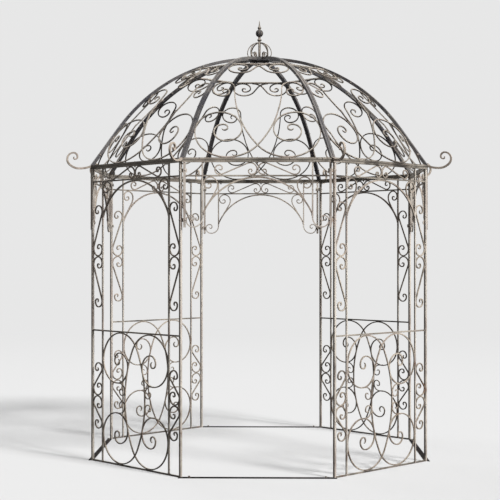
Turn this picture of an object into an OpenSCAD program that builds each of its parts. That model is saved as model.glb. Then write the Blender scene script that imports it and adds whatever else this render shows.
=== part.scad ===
// Ornamental wrought-iron garden pavilion: eight flat sides of square bar, four of them
// with a scrolled balustrade and an arched window, four open as doorways, under an open
// dome of double ribs with scrollwork, a crown plate and a finial.
// The origin is at the middle of the plan, on the ground. The front doorway faces -Y.

/* [Plan] */
// Distance from the middle to the line of each side
side_distance = 1157; // [900:1:1500]
// Distance along a side from the corner to the middle of its post
post_setback = 15; // [13:0.5:25]
// Clear height from the ground to the joint under the dome
eave_height = 2022; // [1900:1:2300]

/* [Bars] */
// Square section of posts, legs, top rails and the dome's base ring
post_bar = 15; // [12:0.5:20]
// Square section of stiles, rails and arches
stile_bar = 10; // [8:0.5:13]
// Square section of the scrolls
scroll_bar = 8; // [6:0.5:10]
// Distance from the middle of a post to the middle of its stile
strip_width = 114; // [100:1:130]
// How far a scroll's weld bites into the bar that carries it
weld_bite = 0.4; // [0.2:0.1:1]

/* [Side panels] */
// Height of the middle of the rail on top of the balustrade
balustrade_height = 900; // [850:1:1000]
// Clear height of the frieze between the header bar and the top rail
frieze_height = 81; // [76:1:90]
// Radius of the arches
arch_radius = 376; // [360:1:420]
// Gap between an arch's crown and the header bar above it
arch_crown_gap = 0; // [0:0.5:4]

/* [Balustrade scrolls] */
// Radius of the outer bend of each large C-scroll
bend_radius = 200; // [180:1:215]
// Angle at which the long neck of a C-scroll meets its outer bend
neck_angle = 27; // [24:0.5:30]
// Distance from the panel's middle to the top of a volute
volute_offset = 153; // [145:1:160]

/* [Doorways] */
// Height of the lower end of a header's legs
leg_bottom = 1592; // [1500:1:1700]
// Width of the flat sill bar on the ground
sill_width = 32; // [20:1:50]
// Thickness of the sill bar
sill_thickness = 5; // [3:0.5:8]

/* [Dome] */
// Width of one bar of a double rib
rib_width = 14; // [10:0.5:18]
// Depth of a rib bar
rib_depth = 20; // [16:0.5:24]
// Gap between the two bars of a double rib
rib_gap = 1; // [0.5:0.5:4]
// Slope of the ribs at the eave, from level
rib_slope = 54; // [50:0.5:58]
// Radius of the ribs' curved stretch
rib_radius = 1300; // [1200:5:1400]
// Radius of the crown plate that the ribs run into
crown_radius = 90; // [80:1:110]
// Height of the crown plate
crown_thickness = 20; // [16:1:30]

/* [Corner horns] */
// Thickness of a horn at its root
horn_root = 15; // [12:0.5:18]
// Thickness of a horn at the end of its volute
horn_tip = 8; // [6:0.5:10]
// Width of a horn across its bends
horn_width = 13; // [10:0.5:16]
// Radius of the bend under a horn's volute
horn_curve = 96; // [85:1:110]

/* [Finial] */
// Height of the finial above the crown plate
finial_height = 275; // [220:1:320]
// Radius of the finial's cage of scrolls at its widest
cage_radius = 90; // [80:1:100]

/* [Hidden] */
PANELS = ["front_right", "back_right", "back_left", "front_left"];
BAYS = ["front", "right", "back", "left"];
DOME_SIDES = [for (i = [0 : 3]) each [BAYS[i], PANELS[i]]];

SIDES = 8;
turn = 360 / SIDES;
half_turn = turn / 2;
corner_x = side_distance * tan(half_turn);
corner_r = side_distance / cos(half_turn);
post_x = corner_x - post_setback;
stile_x = post_x - strip_width;
post_face = post_x - post_bar / 2;
stile_outer = stile_x + stile_bar / 2;
stile_face = stile_x - stile_bar / 2;
rail_bottom = eave_height - post_bar;
header_top = rail_bottom - frieze_height;
header_bottom = header_top - stile_bar;
seat = scroll_bar / 2 - weld_bite;
$fn = 96;

iron = [0.30, 0.27, 0.25];
worn_iron = [0.46, 0.42, 0.39];
slate_iron = [0.38, 0.38, 0.41];

// How far the slimmer lengths of a bent bar reach into their neighbours, and how much
// slimmer they are
lap = 0.4;
lap_step = 0.1;

// Facets of a full turn: curves of a long radius are cut finer
long_radius = 300;
fine_facets = 360;
function facets(r) = r > long_radius ? fine_facets : $fn;

// One bar that is bent in the XY plane. It starts at p with heading h, and each move is
// [radius, turn] with left turns positive, or [0, length] for a straight stretch. Every
// second length is a hair slimmer and reaches into its neighbours: those with i % 2 == slim.
module bent_bar(p, h, moves, width, depth, slim = 1, i = 0) {
  if (i < len(moves)) {
    r = moves[i][0];
    s = moves[i][1];
    inner = i % 2 == slim;
    w = inner ? width - lap_step : width;
    d = inner ? depth - lap_step : depth;
    reach = inner ? lap : 0;
    if (r == 0) {
      translate([p[0], p[1], -d / 2])
        rotate([0, 0, h])
          translate([-reach, -w / 2, 0])
            cube([s + 2 * reach, w, d]);
      bent_bar(p + s * [cos(h), sin(h)], h, moves, width, depth, slim, i + 1);
    } else {
      way = sign(s);
      centre = p + way * r * [-sin(h), cos(h)];
      from = h - way * 90;
      more = reach / r * 180 / PI;
      translate([centre[0], centre[1], 0])
        rotate([0, 0, min(from, from + s) - more])
          rotate_extrude(angle = abs(s) + 2 * more, $fn = facets(r))
            translate([r - w / 2, -d / 2])
              square([w, d]);
      bent_bar(centre + r * [cos(from + s), sin(from + s)], h + s, moves, width, depth, slim, i + 1);
    }
  }
}

// A bar that tapers while it bends to the left. It is drawn as bent_bar, and widths has the
// width at each end of each length. Both edges are arcs, with their centres a little apart.
module tapered_bar(p, h, moves, widths, depth, i = 0) {
  if (i < len(moves)) {
    r = moves[i][0];
    s = moves[i][1];
    inner = i % 2 == 1;
    step = inner ? lap_step / 2 : 0;
    more = inner ? lap / r * 180 / PI : 0;
    half = (widths[i] + widths[i + 1]) / 4 - step;
    apart = (widths[i + 1] - widths[i]) / 4 / sin(s / 2);
    from = h - 90;
    shift = apart * [-sin(from + s / 2), cos(from + s / 2)];
    rays = [for (t = [-more, s / 2, s + more]) 4 * r * [cos(from + t), sin(from + t)]];
    centre = p + r * [-sin(h), cos(h)];
    translate([centre[0], centre[1], 0])
      intersection() {
        translate([0, 0, step - depth / 2])
          linear_extrude(depth - 2 * step)
            polygon(concat([[0, 0]], rays));
        difference() {
          translate([shift[0], shift[1], -depth]) cylinder(2 * depth, r = r + half, $fn = facets(r));
          translate([-shift[0], -shift[1], -2 * depth]) cylinder(4 * depth, r = r - half, $fn = facets(r));
        }
      }
    end = centre + r * [cos(from + s), sin(from + s)];
    tapered_bar(end, h + s, moves, widths, depth, i + 1);
  }
}

// Moves that carry a bar across by `side` while it runs on by `along`, with equal bends.
// A positive side lies to the left.
function crossover(along, side, r) =
  let (
    d = sqrt(pow(along, 2) + pow(abs(side) - 2 * r, 2)),
    a = atan2(abs(side) - 2 * r, along) + asin(2 * r / d),
    l = sqrt(pow(d, 2) - 4 * pow(r, 2)),
    w = sign(side)
  )
  [[r, w * a], [0, l], [r, -w * a]];

// Quarter turns that wind a bar up into a volute, to the left for way = 1
function volute(radii, way) = [for (r = radii) [r, way * 90]];

// A scroll of the common section. The second half of a bar that is drawn from a point on its
// way, in both directions, starts with a slim length.
module scroll(p, h, moves) {
  bent_bar(p, h, moves, scroll_bar, scroll_bar);
}

module scroll_back(p, h, moves) {
  bent_bar(p, h, moves, scroll_bar, scroll_bar, 0);
}

// A flat side's drawing, stood up in its place: drawn x runs along side k, drawn y is height
module on_side(k) {
  rotate([0, 0, k * turn])
    translate([0, -side_distance, 0])
      rotate([90, 0, 0])
        children();
}

module both_ways() {
  children();
  mirror([1, 0, 0]) children();
}

// An upright square bar centred on x, from one height to another
module upright(x, low, high, bar) {
  translate([x - bar / 2, low, -bar / 2]) cube([bar, high - low, bar]);
}

// A level bar from one x to another, with its middle at height y
module level(x0, x1, y, bar) {
  translate([x0, y - bar / 2, -bar / 2]) cube([x1 - x0, bar, bar]);
}

// A rail whose ends are mitred at the corners of the plan, with its underside at height y
module mitred_rail(y, bar) {
  inner = corner_x - bar / 2 * tan(half_turn);
  outer = corner_x + bar / 2 * tan(half_turn);
  translate([0, y + bar, 0])
    rotate([90, 0, 0])
      linear_extrude(bar)
        polygon([[-inner, -bar / 2], [inner, -bar / 2], [outer, bar / 2], [-outer, bar / 2]]);
}

// Side panels

module panel_posts() {
  color(worn_iron) both_ways() {
    upright(post_x, 0, rail_bottom, post_bar);
    upright(stile_x, 0, rail_bottom, stile_bar);
  }
}

// One level rail, cut where the stiles run through it
module stopped_rail(y) {
  both_ways() level(stile_outer, post_face, y, stile_bar);
  level(-stile_face, stile_face, y, stile_bar);
}

module panel_rails() {
  color(worn_iron) {
    mitred_rail(rail_bottom, post_bar);
    stopped_rail(header_top - stile_bar / 2);
    stopped_rail(balustrade_height);
    stopped_rail(stile_bar / 2);
  }
}

// The arch between the stiles
arch_top = header_bottom - arch_crown_gap;
arch_centre = arch_top - stile_bar / 2 - arch_radius;
arch_reach = acos((stile_face + stile_bar) / (arch_radius + stile_bar));

module arch_bar() {
  translate([0, arch_centre, 0])
    rotate([0, 0, arch_reach])
      rotate_extrude(angle = 180 - 2 * arch_reach, $fn = facets(arch_radius))
        translate([arch_radius - stile_bar / 2, -stile_bar / 2])
          square(stile_bar);
}

// The comma in each spandrel: a stem from the foot of the arch to a volute by the stile
comma_side = 88;
comma_radii = [47, comma_side - 47, 29, 18, 11];
comma_bend = 80;
comma_drop = 128;
comma_lean = 31;

module comma() {
  start = [stile_face - seat - comma_side, header_bottom - seat - comma_radii[0]];
  scroll(start, 90, volute(comma_radii, -1));
  scroll_back(start, -90, [[comma_bend, comma_lean], [0, comma_drop]]);
}

// The arch and its commas end flush on the stiles
module arch_with_commas() {
  difference() {
    union() {
      arch_bar();
      both_ways() comma();
    }
    both_ways()
      translate([stile_face, 0, -stile_bar])
        cube([strip_width, eave_height, 2 * stile_bar]);
  }
}

// The frieze: two S-scrolls back to back under the top rail
frieze_top = rail_bottom - seat;
frieze_low = header_top + seat;
frieze_rise = frieze_top - frieze_low;
frieze_centre_top = frieze_rise * 0.55;
frieze_end_x = 240;

frieze_bend = 60;
frieze_radii = [31, 28, 19, 11];
frieze_eye = [20, 13, 9];

module frieze_scroll() {
  start = [seat, frieze_top - frieze_centre_top];
  run = frieze_end_x - start[0] - frieze_centre_top;
  scroll(start, -90, volute(concat([frieze_rise - frieze_centre_top], frieze_eye), 1));
  scroll_back(start, 90, concat(
    [[frieze_centre_top, -90]],
    crossover(run, -frieze_rise, frieze_bend),
    volute(frieze_radii, 1)
  ));
}

// The pair of S-scrolls in the strip between a post and its stile, mirrored about height mid
strip_clear = strip_width - post_bar / 2 - stile_bar / 2;
strip_reach = strip_clear - 2 * seat;

strip_eye = [33, 18, 11];
curl_eye = [20, 12];
curl_step = 4;

// drop is the length of the long diagonal, loop and curl the first radii of its two volutes
module strip_scroll(mid, drop, loop, curl, bend) {
  start = [post_face - seat, mid - seat - loop];
  scroll(start, 90, volute(concat([loop, strip_reach - loop], strip_eye), 1));
  scroll_back(start, -90, concat(
    crossover(drop, -strip_reach, bend),
    volute(concat([curl, curl - curl_step], curl_eye), 1)
  ));
}

module strip_pair(mid, drop, loop, curl, bend) {
  strip_scroll(mid, drop, loop, curl, bend);
  translate([0, 2 * mid, 0]) mirror([0, 1, 0]) strip_scroll(mid, drop, loop, curl, bend);
}

window_mid = (balustrade_height + header_bottom) / 2;
window_drop = 0.251 * (header_bottom - balustrade_height);
window_loop = 50;
window_curl = 39;
window_bend = 60;
lower_drop = 0.155 * balustrade_height - scroll_bar / 2;
lower_loop = 46;
lower_curl = 39;
lower_bend = 30;

// The balustrade: two interlaced C-scrolls, each with a volute at both ends and small hooks
balustrade_low = stile_bar + seat;
balustrade_high = balustrade_height - stile_bar / 2 - seat;
balustrade_mid = (balustrade_low + balustrade_high) / 2;
neck_rise = balustrade_high - balustrade_mid - bend_radius * (1 - sin(neck_angle));
neck_radius = neck_rise / sin(neck_angle);
neck_x = -volute_offset + neck_radius * (1 - cos(neck_angle)) + bend_radius * cos(neck_angle);
volute_side = stile_face - seat - volute_offset;
volute_turn = 150;
volute_radii = [volute_side, volute_turn, 116, 88, 52, 29, 21];
hook_bar = 6.5;
hook_bend = 52;
hook_eye = [28, 28, 14];
hook_x = -stile_face + seat + volute_turn;
hook_y = balustrade_high - volute_side - volute_turn;
hook_run = -neck_x - scroll_bar / 2 - hook_bend - hook_x;

module half_c_scroll() {
  scroll([neck_x, balustrade_mid], 90, concat(
    [[neck_radius, neck_angle], [bend_radius, 90 - neck_angle]],
    volute(volute_radii, 1)
  ));
  bent_bar([hook_x, hook_y], 0, concat([[0, hook_run]], volute(concat([hook_bend], hook_eye), -1)),
    hook_bar, hook_bar);
}

module balustrade_scrolls() {
  both_ways() {
    half_c_scroll();
    translate([0, 2 * balustrade_mid, 0]) mirror([0, 1, 0]) half_c_scroll();
  }
}

// The flat lattice of a side panel: the balustrade and both pairs in each strip
module panel_lattice() {
  color(iron) {
    both_ways() {
      strip_pair(window_mid, window_drop, window_loop, window_curl, window_bend);
      strip_pair(balustrade_mid, lower_drop, lower_loop, lower_curl, lower_bend);
    }
    balustrade_scrolls();
  }
}

// An arch with its commas and the frieze above it
module arch_and_frieze() {
  color(worn_iron) {
    arch_with_commas();
    both_ways() frieze_scroll();
  }
}

// Doorway headers

// The outward hook at the foot of each header stile
hook_rise = 63;
hook_start = leg_bottom + hook_rise;
hook_turn = 60;
hook_end = [30, 20, 12];

module header_rails() {
  color(worn_iron) {
    mitred_rail(rail_bottom, post_bar);
    stopped_rail(header_top - stile_bar / 2);
  }
}

module header_legs() {
  reach = post_face - seat - stile_x - hook_turn;
  color(worn_iron) both_ways() {
    upright(post_x, leg_bottom, rail_bottom, post_bar);
    upright(stile_x, hook_start, rail_bottom, stile_bar);
    scroll_back([stile_x, hook_start], -90, volute(concat([hook_turn, reach], hook_end), 1));
  }
}

module door_sill(k) {
  end = corner_x + post_bar / 2 / cos(turn);
  half = sill_width / 2;
  on_side(k)
    rotate([-90, 0, 0])
      linear_extrude(sill_thickness)
        polygon([[-end - half, -half], [end + half, -half], [end - half, half], [-end + half, half]]);
}

module door_sills() {
  color(iron)
    for (k = [0 : 2 : SIDES - 2]) door_sill(k);
}

// Dome

ring_top = eave_height + post_bar;
foot_r = corner_r;
foot_z = eave_height + post_bar / 2;
crown_angle = asin(crown_radius / rib_radius);
rib_straight = (foot_r - rib_radius * sin(rib_slope)) / cos(rib_slope);
crown_z = foot_z + rib_straight * sin(rib_slope) + rib_radius * (1 - cos(rib_slope));
rib_sink = 30;
rib_end_cut = 2;

module dome_base_ring() {
  outer = (side_distance + post_bar / 2) / cos(half_turn);
  inner = (side_distance - post_bar / 2) / cos(half_turn);
  color(worn_iron)
    translate([0, 0, eave_height])
      rotate([0, 0, half_turn])
        linear_extrude(post_bar)
          difference() {
            circle(r = outer, $fn = SIDES);
            circle(r = inner, $fn = SIDES);
          }
}

// The two bars of one rib, in the plane of its corner
module rib() {
  down = [-cos(rib_slope), sin(rib_slope)];
  difference() {
    rotate([90, 0, 0])
      for (way = [-1, 1])
        translate([0, 0, way * (rib_width + rib_gap) / 2])
          bent_bar([foot_r, foot_z] - rib_sink * down, 180 - rib_slope,
            [[0, rib_sink + rib_straight], [rib_radius, rib_slope - crown_angle + rib_end_cut]],
            rib_depth, rib_width);
    translate([0, 0, ring_top - corner_r]) cylinder(r = 2 * corner_r, h = corner_r);
    translate([0, 0, crown_z - corner_r]) cylinder(r = crown_radius, h = 2 * corner_r);
  }
}

// The ribs at the two corners of bay k
module bay_ribs(k) {
  color(slate_iron)
    for (way = [-1, 1])
      rotate([0, 0, -90 + k * turn + way * half_turn]) rib();
}

// Dome scrolls lie in three flat stretches that follow the ribs. Lengths are measured up
// the side from the joint; each stretch is a chord of the ribs' curve.
function rib_point(s) =
  s < rib_straight
    ? [foot_r - s * cos(rib_slope), foot_z + s * sin(rib_slope)]
    : let (a = rib_slope - (s - rib_straight) / rib_radius * 180 / PI)
      [rib_radius * sin(a), crown_z - rib_radius * (1 - cos(a))];

// Half the clear width between the ribs at length s up the side
function gore_half(s) = rib_point(s)[0] * sin(half_turn) - rib_width - rib_gap / 2;

// The dome's scrolls are drawn for this clear half width at the joint, and grow with it
drawn_half = 464.7;
fit = gore_half(0) / drawn_half;

// Where the stretches end, as drawn
drawn_lower_end = 430;
drawn_middle_end = 760;
drawn_upper_end = 1055;
lower_end = fit * drawn_lower_end;
middle_end = fit * drawn_middle_end;
upper_end = fit * drawn_upper_end;
STRETCH = [0, lower_end, middle_end, upper_end];

function stretch_foot(i) = let (p = rib_point(STRETCH[i])) [p[0] * cos(half_turn), p[1]];
function stretch_rise(i) =
  let (a = stretch_foot(i), b = stretch_foot(i + 1))
  atan2(b[1] - a[1], a[0] - b[0]);
function stretch_length(i) = norm(stretch_foot(i + 1) - stretch_foot(i));

// Places a flat drawing on stretch i of side k, with drawn y up the slope from its foot
module on_stretch(k, i) {
  foot = stretch_foot(i);
  rotate([0, 0, k * turn])
    translate([0, -foot[0], foot[1]])
      rotate([stretch_rise(i), 0, 0])
        children();
}

// How far one bend carries a bar that starts with heading h
function arc_step(move, h) =
  move[0] * [sin(h + move[1]) - sin(h), cos(h) - cos(h + move[1])];

// The lower scrolls: a large volute at the ring, crossing to a smaller one on the other side
gore_low = post_bar / 2 / sin(rib_slope) + seat;
drawn_gore_radii = [212, 162, 142, 100, 80, 60, 28, 20];
gore_radii = fit * drawn_gore_radii;
gore_volute_y = gore_low + gore_radii[0];
gore_lean = atan(cos(rib_slope) * sin(half_turn));
gore_volute_x = gore_half(gore_volute_y) - (gore_radii[1] + seat) / cos(gore_lean);
gore_start = [-gore_volute_x - gore_radii[1] + gore_radii[0], gore_low];
drawn_neck_radii = [240, 719];
neck_radii = fit * drawn_neck_radii;
neck_turns = [52, 28];
neck_first = [neck_radii[0], neck_turns[0]];
neck_second = [neck_radii[1], neck_turns[1]];
neck_lean = 90 - neck_turns[0] - neck_turns[1];
neck_far = gore_start + arc_step(neck_first, 0) + arc_step(neck_second, neck_turns[0]);
neck_rest = (lower_end - neck_far[1]) / cos(neck_lean);
neck_end_x = neck_far[0] + neck_rest * sin(neck_lean);
fold_lap = 1.5;

module dome_lower_scroll() {
  scroll(gore_start, 180, volute(gore_radii, -1));
  scroll_back(gore_start, 0, [neck_first, neck_second, [0, neck_rest + fold_lap]]);
}

// The middle stretch: the neck runs on and winds up beside the rib
drawn_middle_edge = 222;
middle_edge_y = fit * drawn_middle_edge;
middle_run = middle_edge_y / sin(neck_lean);
middle_edge_x = neck_end_x + middle_run * (1 - cos(neck_lean));
drawn_middle_radii = [82, 66, 44, 28, 18];
middle_radii = fit * drawn_middle_radii;
middle_radius = middle_radii[0];
middle_lean = 16.5;
middle_volute_x = gore_half(lower_end + middle_edge_y) - (middle_radius + seat) / cos(middle_lean);
middle_top = middle_volute_x - middle_edge_x;

module dome_middle_scroll() {
  far = [-middle_edge_x, middle_edge_y];
  scroll(far, 90, volute(concat([middle_top], middle_radii), 1));
  scroll_back(far, -90, [[middle_run, neck_lean], [0, fold_lap]]);
}

// The upper stretch: a level bar between the ribs, with a pair of volutes under it whose necks
// cross and end against the bar
upper_bar_y = stretch_length(2) - stile_bar;
upper_top = upper_bar_y - stile_bar / 2 - seat;
drawn_upper_radii = [77, 70, 60, 40, 25, 15];
upper_radii = fit * drawn_upper_radii;
upper_rise = upper_radii[0] + upper_radii[1];
upper_low = upper_top - upper_rise;
upper_lean = 20;
upper_volute_x = gore_half(middle_end + upper_low + upper_radii[0])
  - (upper_radii[1] + seat) / cos(upper_lean);
upper_start = [-upper_volute_x - upper_radii[1] + upper_radii[0], upper_low];
drawn_neck_end = 60;
drawn_upper_bend = 90;
upper_end_x = fit * drawn_neck_end;
upper_bend = fit * drawn_upper_bend;

module dome_upper_scroll() {
  scroll(upper_start, 180, volute(upper_radii, -1));
  scroll_back(upper_start, 0, crossover(upper_end_x - upper_start[0], upper_rise, upper_bend));
}

module dome_scrolls(k) {
  reach = gore_half(middle_end + upper_bar_y);
  color(iron) {
    on_stretch(k, 0) both_ways() dome_lower_scroll();
    on_stretch(k, 1) both_ways() dome_middle_scroll();
    on_stretch(k, 2) {
      both_ways() dome_upper_scroll();
      level(-reach, reach, upper_bar_y, stile_bar);
    }
  }
}

// Crown and finial

crown_rim = 14;
crown_skin = 5;

module crown_plate() {
  color(slate_iron)
    translate([0, 0, crown_z - crown_thickness / 2])
      difference() {
        cylinder(r = crown_radius, h = crown_thickness);
        translate([0, 0, -crown_skin])
          cylinder(r = crown_radius - crown_rim, h = crown_thickness);
      }
}

finial_foot = crown_z + crown_thickness / 2;
foot_radius = 30;
foot_height = 6;
stem_radius = 9;
ball_radius = 22;
collar_radius = 16;
collar_low = 124;
ball_mid = 182;
tip_radius = 1.5;

// Each arm of the cage springs from the stem, arches over and winds up on the crown plate
cage_bar = 6;
cage_seat = cage_bar / 2 - weld_bite;
cage_top = 112;
cage_eye = [32, 24, 15, 10];
cage_arms = 8;

module cage_arm() {
  start = [stem_radius - cage_seat, cage_top];
  arch = cage_top - cage_seat - cage_eye[0];
  bent_bar(start, 0, concat([[0, cage_radius - cage_bar / 2 - start[0] - arch]],
    volute(concat([arch], cage_eye), -1)), cage_bar, cage_bar);
}

module finial_stem() {
  rotate_extrude()
    polygon([
      [0, 0], [foot_radius, 0], [foot_radius, foot_height], [stem_radius, 2.5 * foot_height],
      [stem_radius, collar_low], [collar_radius, collar_low + 6], [collar_radius, collar_low + 12],
      [stem_radius, collar_low + 18], [stem_radius, ball_mid - 27], [ball_radius - 5, ball_mid - 18],
      [ball_radius, ball_mid - 6], [ball_radius, ball_mid + 6], [ball_radius - 5, ball_mid + 18],
      [stem_radius, ball_mid + 27], [13, ball_mid + 36], [13, ball_mid + 42],
      [6, ball_mid + 54], [tip_radius, finial_height], [0, finial_height]
    ]);
}

module finial() {
  color(slate_iron)
    translate([0, 0, finial_foot]) {
      finial_stem();
      for (i = [0 : cage_arms - 1])
        rotate([90, 0, i * 360 / cage_arms]) cage_arm();
    }
}

// Corner horns: a tapered bar runs out from the ring in a low bend, then winds up into a volute
horn_radii = [228, horn_curve, 48, 45, 27, 17, 10];
horn_turns = [23, 45, 45, 90, 90, 90, 60];
horn_rise = 10;

module corner_horns() {
  moves = [for (i = [0 : len(horn_turns) - 1]) [horn_radii[i], horn_turns[i]]];
  widths = [for (i = [0 : len(moves)]) horn_root + (horn_tip - horn_root) * i / len(moves)];
  color(worn_iron)
    for (k = [1 : SIDES])
      rotate([0, 0, -90 + (k - 0.5) * turn])
        difference() {
          translate([corner_r, 0, eave_height])
            rotate([90, 0, 0])
              tapered_bar([0, horn_rise], -horn_turns[0], moves, widths, horn_width);
          translate([0, 0, eave_height - post_bar])
            linear_extrude(3 * post_bar)
              circle(r = (side_distance + post_bar / 2) / cos(half_turn) - weld_bite, $fn = SIDES);
        }
}

// Sides are counted round the plan from the front, and ribs k and k + 1 bound side k

for (i = [0 : 3]) {
  k = 2 * i + 1;
  on_side(k) panel_posts();
  on_side(k) panel_rails();
  on_side(k) arch_and_frieze();
  on_side(k) panel_lattice();
}
for (i = [0 : 3]) {
  k = 2 * i;
  on_side(k) header_legs();
  on_side(k) header_rails();
  on_side(k) arch_and_frieze();
  bay_ribs(k);
}
for (k = [0 : SIDES - 1]) {
  dome_scrolls(k);
}
door_sills();
dome_base_ring();
crown_plate();
finial();
corner_horns();
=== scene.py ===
"""Looks of an ornamental wrought-iron garden pavilion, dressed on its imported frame.

The frame's solids keep their places and shapes. This file gives them their weathered
finishes and adds what is left on such work by the smith and the fitter: welds where the
scrolls touch the bars, forged bar ends, straps, bolts, flared horn ends and the finial's
trimmings. All lengths are metres in the frame's own axes: +Z up, -Y the front doorway.
"""

from __future__ import annotations

import logging
import math
import random
from collections.abc import Iterator, Sequence
from dataclasses import dataclass, field
from enum import Enum
from functools import reduce

import bmesh
import bpy
from mathutils import Matrix, Vector


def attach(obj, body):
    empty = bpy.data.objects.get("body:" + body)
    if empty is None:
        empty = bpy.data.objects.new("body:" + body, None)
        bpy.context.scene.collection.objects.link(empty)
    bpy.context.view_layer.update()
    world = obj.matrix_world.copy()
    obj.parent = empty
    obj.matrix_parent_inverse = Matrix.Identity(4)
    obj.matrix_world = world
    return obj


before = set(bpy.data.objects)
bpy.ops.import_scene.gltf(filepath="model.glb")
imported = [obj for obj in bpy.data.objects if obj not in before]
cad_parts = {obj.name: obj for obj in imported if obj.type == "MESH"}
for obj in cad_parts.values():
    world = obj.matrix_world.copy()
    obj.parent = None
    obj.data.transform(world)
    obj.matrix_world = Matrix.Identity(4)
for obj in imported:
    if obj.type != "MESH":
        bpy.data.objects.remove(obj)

LOG = logging.getLogger("pavilion")
SIDES = 8
TURN = 360.0 / SIDES
HALF_TURN = math.radians(TURN / 2)  # in radians, for sines and cosines
EAVE_HEIGHT = 2.022
SCROLL_BAR = 0.008

Socket = bpy.types.NodeSocket
Colour = tuple[float, float, float]
Sizes = tuple[float, ...]


class Slot(Enum):
    """The record's material slots."""

    WORN = "worn_iron"
    SCROLL = "scroll_iron"
    RIB = "weathered_rib"


class Coat(Enum):
    """The finishes, by the work that they are on."""

    POST = "rubbed_post_paint"
    RAIL = "rubbed_rail_paint"
    SILL = "trodden_sill_paint"
    ARCH = "tan_arch_paint"
    LATTICE = "umber_scroll_paint"
    DOME = "pale_scroll_paint"
    RIB = "slate_rib_paint"
    WELD = "weld_scale"
    BOLT = "dull_zinc"


class Joint(Enum):
    """Where two bars lie side by side, with painted shade in the seam between them."""

    NONE = "none"
    EAVE = "between the top rails and the ring on them"
    RIB = "down the middle of the double ribs"


class Grain(Enum):
    """How far streaks are stretched along each axis, as a bar's brushing runs."""

    UPRIGHT = (1.0, 1.0, 0.13)
    LEVEL = (0.13, 0.13, 1.0)
    EVEN = (0.8, 0.8, 0.8)


class Cloud(Enum):
    """Layers of unevenness: clouds per metre, and how much finer detail is in them."""

    BROAD = (1.9, 2.0)
    BLUSH = (4.6, 3.0)
    PATCH = (11.0, 3.0)
    RUST = (13.0, 6.0)
    STREAK = (85.0, 3.0)
    FLAKE = (96.0, 6.0)
    SPECK = (330.0, 3.0)


class Step(Enum):
    """Smooth steps: where each starts and ends, and its level before and after."""

    EDGE = (0.01, 0.12, 0.0, 1.0)
    LOW = (0.05, 1.15, 1.0, 0.0)
    UPWARD = (0.2, 0.95, 0.0, 1.0)
    # Painted shade on faces that turn downward.
    PAINTED_UNDERSIDE_SHADE = (-0.8, -0.15, 1.0, 0.0)
    FADED = (0.36, 0.66, 0.0, 1.0)
    RUBBED = (-0.20, 0.20, 0.0, 0.92)
    BLUSHED = (0.44, 0.68, 0.0, 0.62)
    STAINED = (0.58, 0.65, 0.0, 0.35)
    CHIPPED = (0.645, 0.665, 0.0, 1.0)
    RUSTED = (0.66, 0.76, 0.0, 0.75)
    DUSTY = (0.25, 0.65, 0.0, 0.35)
    # Painted shade in the seam between side-by-side bars, by distance from the seam.
    PAINTED_SEAM_SHADE = (0.0010, 0.0045, 0.65, 0.0)
    FAR = (3.0, 14.0, 0.0, 1.0)


class Bead(float, Enum):
    """Lengths of weld beads, by the joint that they close."""

    RAIL = 0.010
    HEADER = 0.011
    SCROLL = 0.012
    BACK = 0.014
    POST = 0.016
    VOLUTE = 0.018
    RING = 0.020
    ARCH_TOP = 0.026
    ARCH_FOOT = 0.030


class Seed(int, Enum):
    """Seeds of the small irregularities. A side's number is added to those of its kind."""

    CORNER_NUTS = 6
    PANEL_WELDS = 31
    DOOR_WELDS = 71
    SILL_BOLTS = 91
    DOME_WELDS = 202
    DOME_BOLTS = 203
    HORN_WELDS = 302
    CROWN_BOLTS = 402


# Finishes


def linear(red: float, green: float, blue: float) -> tuple[float, float, float, float]:
    """A colour as the renderer wants it.

    Args:
        red: Red as seen on a screen, from 0 to 255.
        green: Green, from 0 to 255.
        blue: Blue, from 0 to 255.

    Returns:
        The same colour in linear light, opaque.
    """

    def one(value: float) -> float:
        """One channel in linear light."""
        share = value / 255.0
        return share / 12.92 if share <= 0.04045 else ((share + 0.055) / 1.055) ** 2.4

    return one(red), one(green), one(blue), 1.0


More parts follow.
